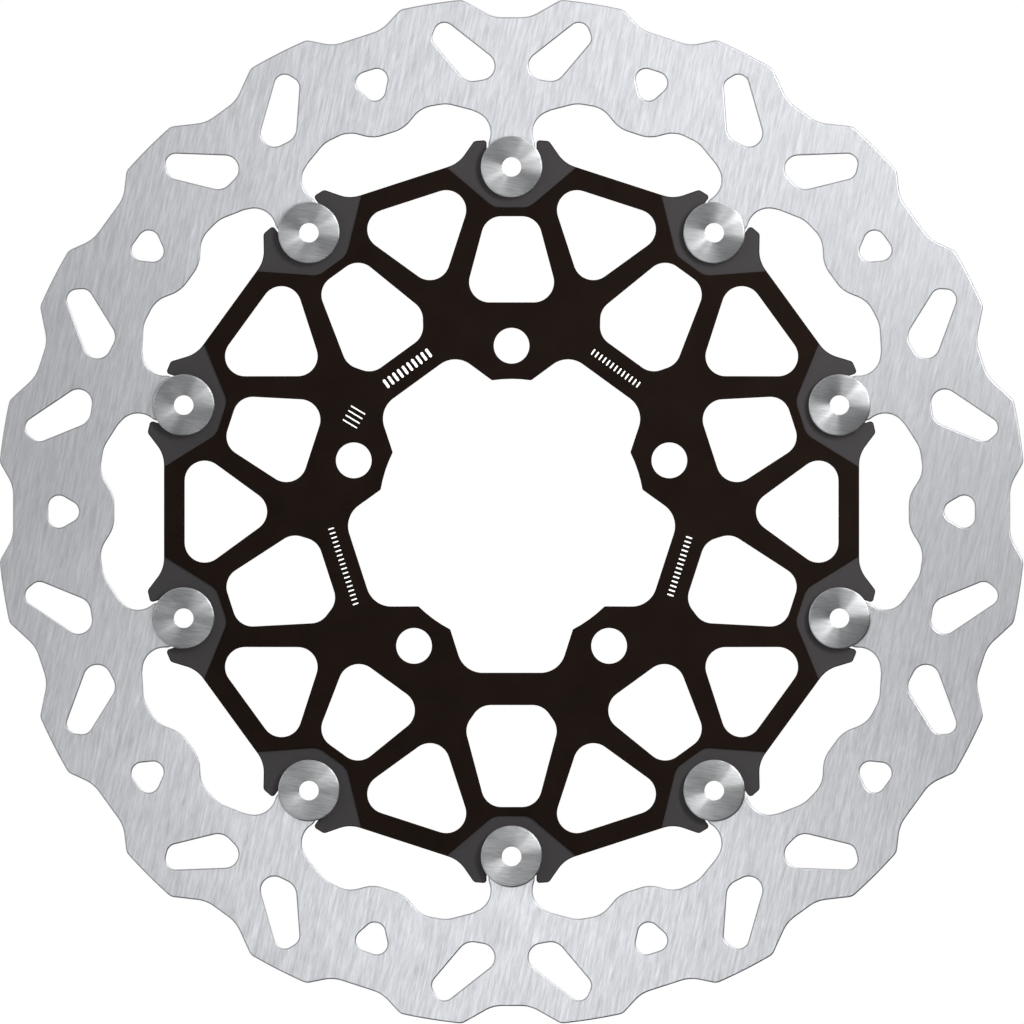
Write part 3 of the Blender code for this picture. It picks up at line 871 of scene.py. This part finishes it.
class BRAKE_OT_friction_ring(Operator):
    """Builds the ground friction ring"""

    bl_idname = "brake_disc.friction_ring"
    bl_label = "Friction Ring"

    def execute(self, context):
        scene = context.scene
        mesh = ring_mesh(scene.disc_sizes, scene.bobbin_sizes)
        finishes = [ground_steel(scene.disc_colours), cut_steel(scene.disc_colours)]
        add_piece(mesh, finishes, ["friction_ring"], "ring")
        return {"FINISHED"}


class BRAKE_OT_carrier(Operator):
    """Builds the anodised carrier with its sunk lug faces"""

    bl_idname = "brake_disc.carrier"
    bl_label = "Carrier"

    def execute(self, context):
        scene = context.scene
        mesh = carrier_mesh(scene.disc_sizes, scene.bobbin_sizes)
        finishes = [black_anodised(scene.disc_colours), milled_anodised(scene.disc_colours)]
        add_piece(mesh, finishes, ["carrier"], "carrier")
        return {"FINISHED"}


class BRAKE_OT_marks(Operator):
    """Builds the generic laser marks on the carrier"""

    bl_idname = "brake_disc.marks"
    bl_label = "Laser Marks"

    def execute(self, context):
        scene = context.scene
        finish_of_marks = laser_mark(scene.disc_colours)
        for index, row in enumerate(MARK_ROWS):
            mesh = mark_mesh(f"laser_mark_{index + 1}", scene.disc_sizes, row)
            add_piece(mesh, [finish_of_marks], [], "carrier")
        return {"FINISHED"}


class BRAKE_OT_bobbins(Operator):
    """Builds the ten turned bobbins"""

    bl_idname = "brake_disc.bobbins"
    bl_label = "Bobbins"

    def execute(self, context):
        scene = context.scene
        profile = bobbin_profile(scene.disc_sizes, scene.bobbin_sizes)
        steel = turned_steel(scene.disc_colours)
        for number, centre in bobbin_centres(scene.disc_sizes):
            mesh = turned_mesh(f"bobbin_turned_{number}", profile, centre)
            add_piece(mesh, [steel], [f"bobbin_{number}"], f"bobbin_{number}")
        return {"FINISHED"}


class BRAKE_OT_washers(Operator):
    """Builds the wave washer and the back washer behind each bobbin"""

    bl_idname = "brake_disc.washers"
    bl_label = "Washers"

    def execute(self, context):
        scene = context.scene
        sizes, bobbin = scene.disc_sizes, scene.bobbin_sizes
        levels = stack_levels(sizes, bobbin)
        bore = bobbin.barrel + bobbin.washer_gap
        front = levels["wave"][0]
        sheet = (front, front + bobbin.wave_sheet)
        wave_band = rounded_band(bore, bore + bobbin.wave_width, *sheet, bobbin.washer_round)
        back_band = rounded_band(bore, bore + bobbin.back_width, *levels["back"], bobbin.washer_round)
        spring = spring_steel(scene.disc_colours)
        zinc = zinc_plate(scene.disc_colours)

        def wave(turn):
            return bobbin.wave_height / 2 * (1 + np.cos(bobbin.waves * turn))

        for number, centre in bobbin_centres(sizes):
            body = f"bobbin_{number}"
            mesh = turned_mesh(f"wave_washer_spring_{number}", wave_band, centre, wave)
            add_piece(mesh, [spring], [f"wave_washer_{number}"], body)
            mesh = turned_mesh(f"back_washer_plate_{number}", back_band, centre)
            add_piece(mesh, [zinc], [f"back_washer_{number}"], body)
        return {"FINISHED"}


# Stage

# The camera's view, in millimetres
VIEW_WIDTH = 308.6
VIEW_DISTANCE = 1000.0
VIEW_RIGHT = 0.13
VIEW_DOWN = 0.11

CLIP_START = 0.01
CLIP_END = 100.0
FLOOR_HALF = 10.0

# Square softboxes in front of the disc, as (x, z, watts). Each stands a little further out than the
# one before, so that no two share a plane.
SOFTBOX_PLANE = -0.5
SOFTBOX_STAGGER = 0.002
SOFTBOX_SIDE = 0.2
SOFTBOXES = [
    (-0.5, 0.125, 0.44),
    (0.0, -0.125, 0.29),
    (0.0, 0.125, 0.2),
    (0.25, 0.5, 1.71),
    (0.5, 0.125, 2.75),
    (0.5, 0.375, 5.96),
]
# Glow from the walls round the disc. Each fade is a pair of dot products, where it begins and ends.
DARK_SIDE_ANGLE = 125.0
DARK_SIDE_FADE = (-0.1, 0.55)
FRONT_FADE = (0.4, 0.8)
BACK_FADE = (-0.1, -0.45)
WALL_GLOW = 1.8
BACK_GLOW = 0.75
GLOW_COLOUR = (0.95, 0.97, 1.0, 1.0)
SEEN_COLOUR = (1.0, 1.0, 1.0, 1.0)


def add_floor(colours):
    """Wide flat floor under the disc. The walls light it. Light from the low softboxes passes through."""
    level = CAD_LOW[2]
    corners = np.array([(-1, -1), (1, -1), (1, 1), (-1, 1)]) * FLOOR_HALF
    mesh = bpy.data.meshes.new("studio_floor")
    mesh.from_pydata([(x, y, level) for x, y in corners.tolist()], [], [(0, 1, 2, 3)])
    mesh.materials.append(matt_floor(colours))
    floor = bpy.data.objects.new("studio_floor", mesh)
    floor.visible_shadow = False
    floor.visible_glossy = False
    bpy.context.scene.collection.objects.link(floor)
    return floor


def add_softboxes(floor):
    """Square soft lights that face straight at the disc's plane. They light it, but not the floor."""
    unlit = bpy.data.collections.new("softboxes_leave_out")
    unlit.objects.link(floor)
    unlit.collection_objects[0].light_linking.link_state = "EXCLUDE"
    for index, (x, z, watts) in enumerate(SOFTBOXES):
        light = bpy.data.lights.new(f"softbox_{index + 1}", "AREA")
        light.shape = "SQUARE"
        light.size = SOFTBOX_SIDE
        light.energy = watts
        lamp = bpy.data.objects.new(light.name, light)
        lamp.location = (x, SOFTBOX_PLANE - index * SOFTBOX_STAGGER, z)
        lamp.rotation_euler = (math.pi / 2, 0.0, 0.0)
        lamp.visible_camera = False
        lamp.light_linking.receiver_collection = unlit
        bpy.context.scene.collection.objects.link(lamp)


def add_walls():
    """World that shows white. Its light fades out towards one dark side and straight in front.

    In front of the disc the glow falls with the direction's dot product with the dark side, and again
    with its dot product with the axis. Behind the disc the glow is even. Fades are smooth steps.
    """
    world = bpy.data.worlds.new("studio_walls")
    world.use_nodes = True
    tree = world.node_tree
    tree.nodes.clear()
    turn = math.radians(DARK_SIDE_ANGLE)
    way = tree.nodes.new("ShaderNodeTexCoord").outputs["Generated"]
    towards = {0: way, 1: (math.sin(turn), 0.0, math.cos(turn))}
    dark = node(tree, "ShaderNodeVectorMath", towards, operation="DOT_PRODUCT").outputs["Value"]
    forward = {0: way, 1: (0.0, -1.0, 0.0)}
    ahead = node(tree, "ShaderNodeVectorMath", forward, operation="DOT_PRODUCT").outputs["Value"]

    def step(value, fade, low, high):
        return {"Value": value, "From Min": fade[0], "From Max": fade[1], "To Min": low, "To Max": high}

    smooth = {"interpolation_type": "SMOOTHSTEP"}
    side = node(tree, "ShaderNodeMapRange", step(dark, DARK_SIDE_FADE, WALL_GLOW, 0.0), **smooth)
    end = node(tree, "ShaderNodeMapRange", step(ahead, FRONT_FADE, 1.0, 0.0), **smooth)
    behind = node(tree, "ShaderNodeMapRange", step(ahead, BACK_FADE, 0.0, 1.0), **smooth)
    front = node(tree, "ShaderNodeMath", {0: side, 1: end}, operation="MULTIPLY")
    strength = node(tree, "ShaderNodeMix", {0: behind, 2: front, 3: BACK_GLOW})
    seen = node(tree, "ShaderNodeBackground", {"Color": SEEN_COLOUR, "Strength": 1.0})
    glow = node(tree, "ShaderNodeBackground", {"Color": GLOW_COLOUR, "Strength": strength})
    direct = tree.nodes.new("ShaderNodeLightPath").outputs["Is Camera Ray"]
    both = node(tree, "ShaderNodeMixShader", {0: direct, 1: glow, 2: seen})
    node(tree, "ShaderNodeOutputWorld", {"Surface": both})
    bpy.context.scene.world = world


def add_camera():
    """Camera square on to the disc's outer face, with parallel rays."""
    lens = bpy.data.cameras.new("camera")
    lens.type = "ORTHO"
    lens.ortho_scale = VIEW_WIDTH * MM
    lens.clip_start = CLIP_START
    lens.clip_end = CLIP_END
    camera = bpy.data.objects.new("camera", lens)
    camera.location = (VIEW_RIGHT * MM, -VIEW_DISTANCE * MM, -VIEW_DOWN * MM)
    camera.rotation_euler = (math.pi / 2, 0.0, 0.0)
    bpy.context.scene.collection.objects.link(camera)
    bpy.context.scene.camera = camera


class BRAKE_OT_stage(Operator):
    """Adds the pale floor, the soft studio light and the camera"""

    bl_idname = "brake_disc.stage"
    bl_label = "Stage"

    def execute(self, context):
        add_softboxes(add_floor(context.scene.disc_colours))
        add_walls()
        add_camera()
        context.scene.view_settings.view_transform = "Standard"
        return {"FINISHED"}


class BRAKE_PT_panel(Panel):
    """Lists the disc's pieces and its stage"""

    bl_label = "Brake Disc"
    bl_idname = "BRAKE_PT_panel"
    bl_space_type = "VIEW_3D"
    bl_region_type = "UI"
    bl_category = "Brake Disc"

    def draw(self, context):
        for maker in MAKERS:
            self.layout.operator(maker.bl_idname)
        for group in (context.scene.disc_sizes, context.scene.bobbin_sizes, context.scene.disc_colours):
            box = self.layout.box()
            for name in group.__annotations__:
                box.prop(group, name)


MAKERS = (
    BRAKE_OT_friction_ring,
    BRAKE_OT_carrier,
    BRAKE_OT_marks,
    BRAKE_OT_bobbins,
    BRAKE_OT_washers,
    BRAKE_OT_stage,
)
CLASSES = (DiscSizes, BobbinSizes, DiscColours, *MAKERS, BRAKE_PT_panel)


def register():
    for entry in CLASSES:
        bpy.utils.register_class(entry)
    bpy.types.Scene.disc_sizes = PointerProperty(type=DiscSizes)
    bpy.types.Scene.bobbin_sizes = PointerProperty(type=BobbinSizes)
    bpy.types.Scene.disc_colours = PointerProperty(type=DiscColours)


def unregister():
    del bpy.types.Scene.disc_colours
    del bpy.types.Scene.bobbin_sizes
    del bpy.types.Scene.disc_sizes
    for entry in reversed(CLASSES):
        bpy.utils.unregister_class(entry)


def main():
    register()
    bpy.ops.brake_disc.friction_ring()
    bpy.ops.brake_disc.carrier()
    bpy.ops.brake_disc.marks()
    bpy.ops.brake_disc.bobbins()
    bpy.ops.brake_disc.washers()
    bpy.ops.brake_disc.stage()


if __name__ == "__main__":
    main()
